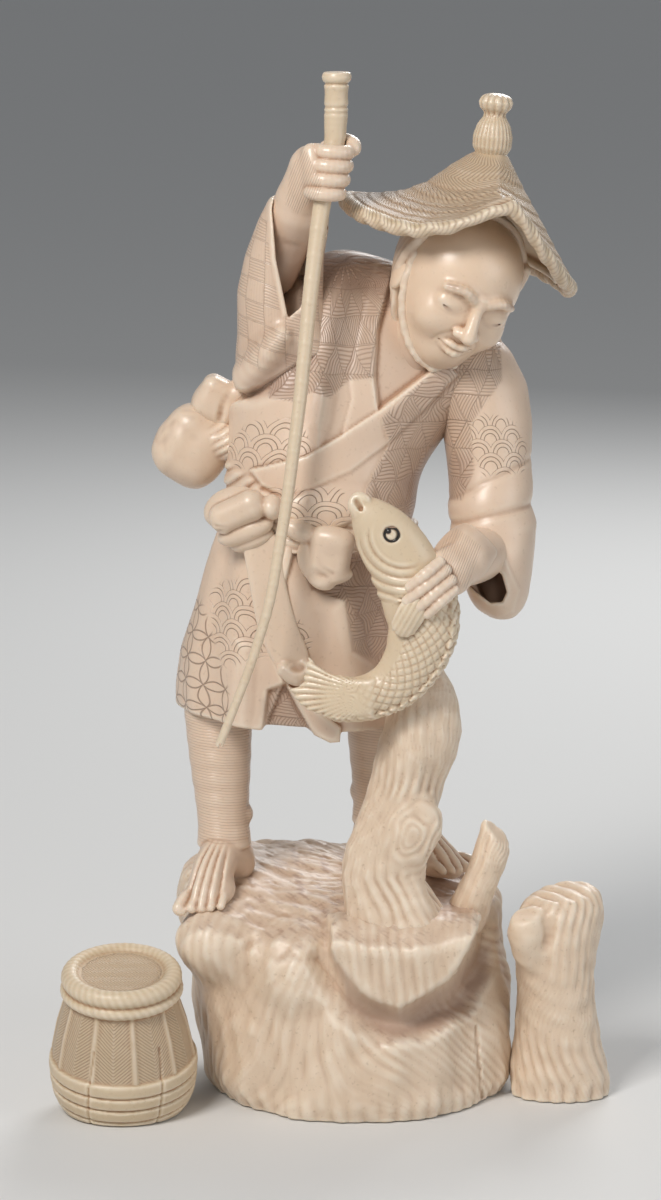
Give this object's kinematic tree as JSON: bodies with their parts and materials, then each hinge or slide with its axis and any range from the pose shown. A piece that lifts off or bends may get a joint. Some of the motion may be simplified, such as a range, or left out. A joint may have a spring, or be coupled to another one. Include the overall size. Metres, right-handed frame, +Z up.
{
  "type": "okimono carving",
  "caption": "Carved ivory-like figure of a fisherman on a stump, holding a fish and a lift-out rod, with a loose creel and a loose stump beside it.",
  "frame": {"origin": "in the flat underside of the carved stump, under the middle of the figure's stance", "axes": "+Z up, +X to the viewer's right, -Y towards the viewer that the figure faces"},
  "size_m": [0.1544, 0.0899, 0.2819],
  "materials": {
    "stump_ivory": "satin",
    "skin_ivory": "gloss",
    "robe_ivory": "satin",
    "woven_ivory": "satin",
    "rod_ivory": "satin",
    "fish_ivory": "satin",
    "eye_inlay": "gloss",
    "dowel_ivory": "satin"
  },
  "bodies": {
    "root": {"stump_base": "stump_ivory", "leaning_trunk": "stump_ivory", "branch_stub": "stump_ivory", "right_leg": "skin_ivory", "left_leg": "skin_ivory", "robe_skirt": "robe_ivory", "robe_body": "robe_ivory", "sash": "robe_ivory", "right_bow": "robe_ivory", "left_bow": "robe_ivory", "sash_tail": "robe_ivory", "right_sleeve": "robe_ivory", "right_hand": "skin_ivory", "left_sleeve": "robe_ivory", "left_hand": "skin_ivory", "head": "skin_ivory", "head_scarf": "robe_ivory", "hat": "woven_ivory", "hat_tassel": "woven_ivory", "fish": "fish_ivory", "fish_eyes": "eye_inlay", "pouch": "robe_ivory", "pouch_toggle": "robe_ivory", "leg_dowels": "dowel_ivory", "trunk_dowel": "dowel_ivory", "branch_dowel": "dowel_ivory", "waist_dowel": "dowel_ivory", "neck_dowel": "dowel_ivory", "hat_dowel": "dowel_ivory", "tassel_dowel": "dowel_ivory", "sleeve_dowels": "dowel_ivory"},
    "rod": {"rod": "rod_ivory"},
    "creel": {"creel": "woven_ivory"},
    "small_stump": {"small_stump": "stump_ivory"}
  },
  "joints": [
    {"name": "rod_lift", "type": "slide", "parent": "root", "child": "rod", "axis": [0.1599, 0.1899, 0.9687], "range_m": [0, 0.02]},
    {"name": "creel_slide", "type": "slide", "parent": "root", "child": "creel", "axis": [-1, 0, 0], "range_m": [0, 0.3]},
    {"name": "stump_slide", "type": "slide", "parent": "root", "child": "small_stump", "axis": [1, 0, 0], "range_m": [0, 0.3]}
  ]
}
